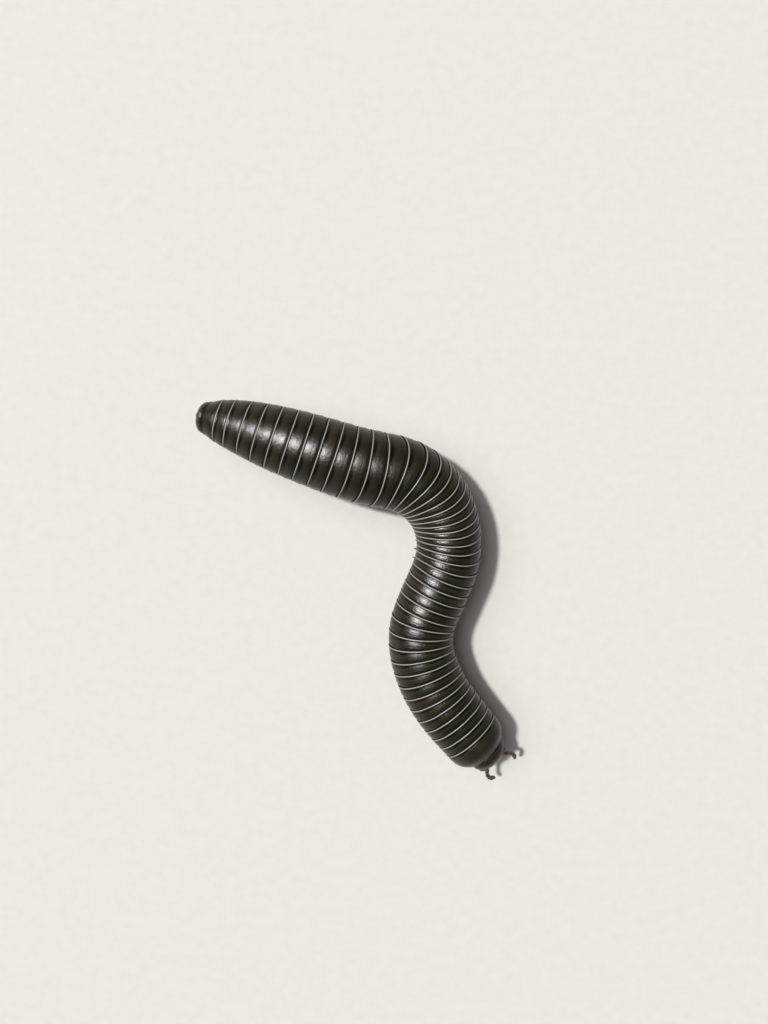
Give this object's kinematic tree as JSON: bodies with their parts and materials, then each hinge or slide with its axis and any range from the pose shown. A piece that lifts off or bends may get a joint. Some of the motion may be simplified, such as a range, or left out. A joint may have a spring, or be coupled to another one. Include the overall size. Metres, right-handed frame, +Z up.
{
  "type": "floridobolus orini millipede",
  "caption": "Still life-size model of a stout black millipede standing on its feet in an S-shaped curve, with a ringed body, lowered head and short feelers.",
  "frame": {"origin": "bottom centre of the bounding box, on the floor that the feet stand on", "axes": "+Z up; +Y towards the tail's side of the floor plan, the long way of the plan; +X from the tail's tip towards the outside of the bend"},
  "size_m": [0.0482, 0.0574, 0.0124],
  "materials": {
    "cuticle_black": "semi-gloss near-black horny shell with a pale thin line on each ring's hind margin",
    "cuticle_brown": "semi-gloss dark brown horny shell",
    "feeler_brown": "satin dark brown",
    "eye_black": "glossy black beaded eye patch"
  },
  "bodies": {
    "root": {"anal_valve_left": "cuticle_brown", "anal_valve_right": "cuticle_brown", "antenna_left": "feeler_brown", "antenna_right": "feeler_brown", "collum": "cuticle_black", "eye_left": "eye_black", "eye_right": "eye_black", "head": "cuticle_black", "mandible_left": "cuticle_brown", "mandible_right": "cuticle_brown", "mouth_plate": "cuticle_brown", "preanal_ring": "cuticle_brown", "trunk_01": "cuticle_black", "trunk_02": "cuticle_black", "trunk_03": "cuticle_black", "trunk_04": "cuticle_black", "trunk_05": "cuticle_black", "trunk_06": "cuticle_black", "trunk_07": "cuticle_black", "trunk_08": "cuticle_black", "trunk_09": "cuticle_black", "trunk_10": "cuticle_black", "trunk_11": "cuticle_black"}
  },
  "joints": []
}
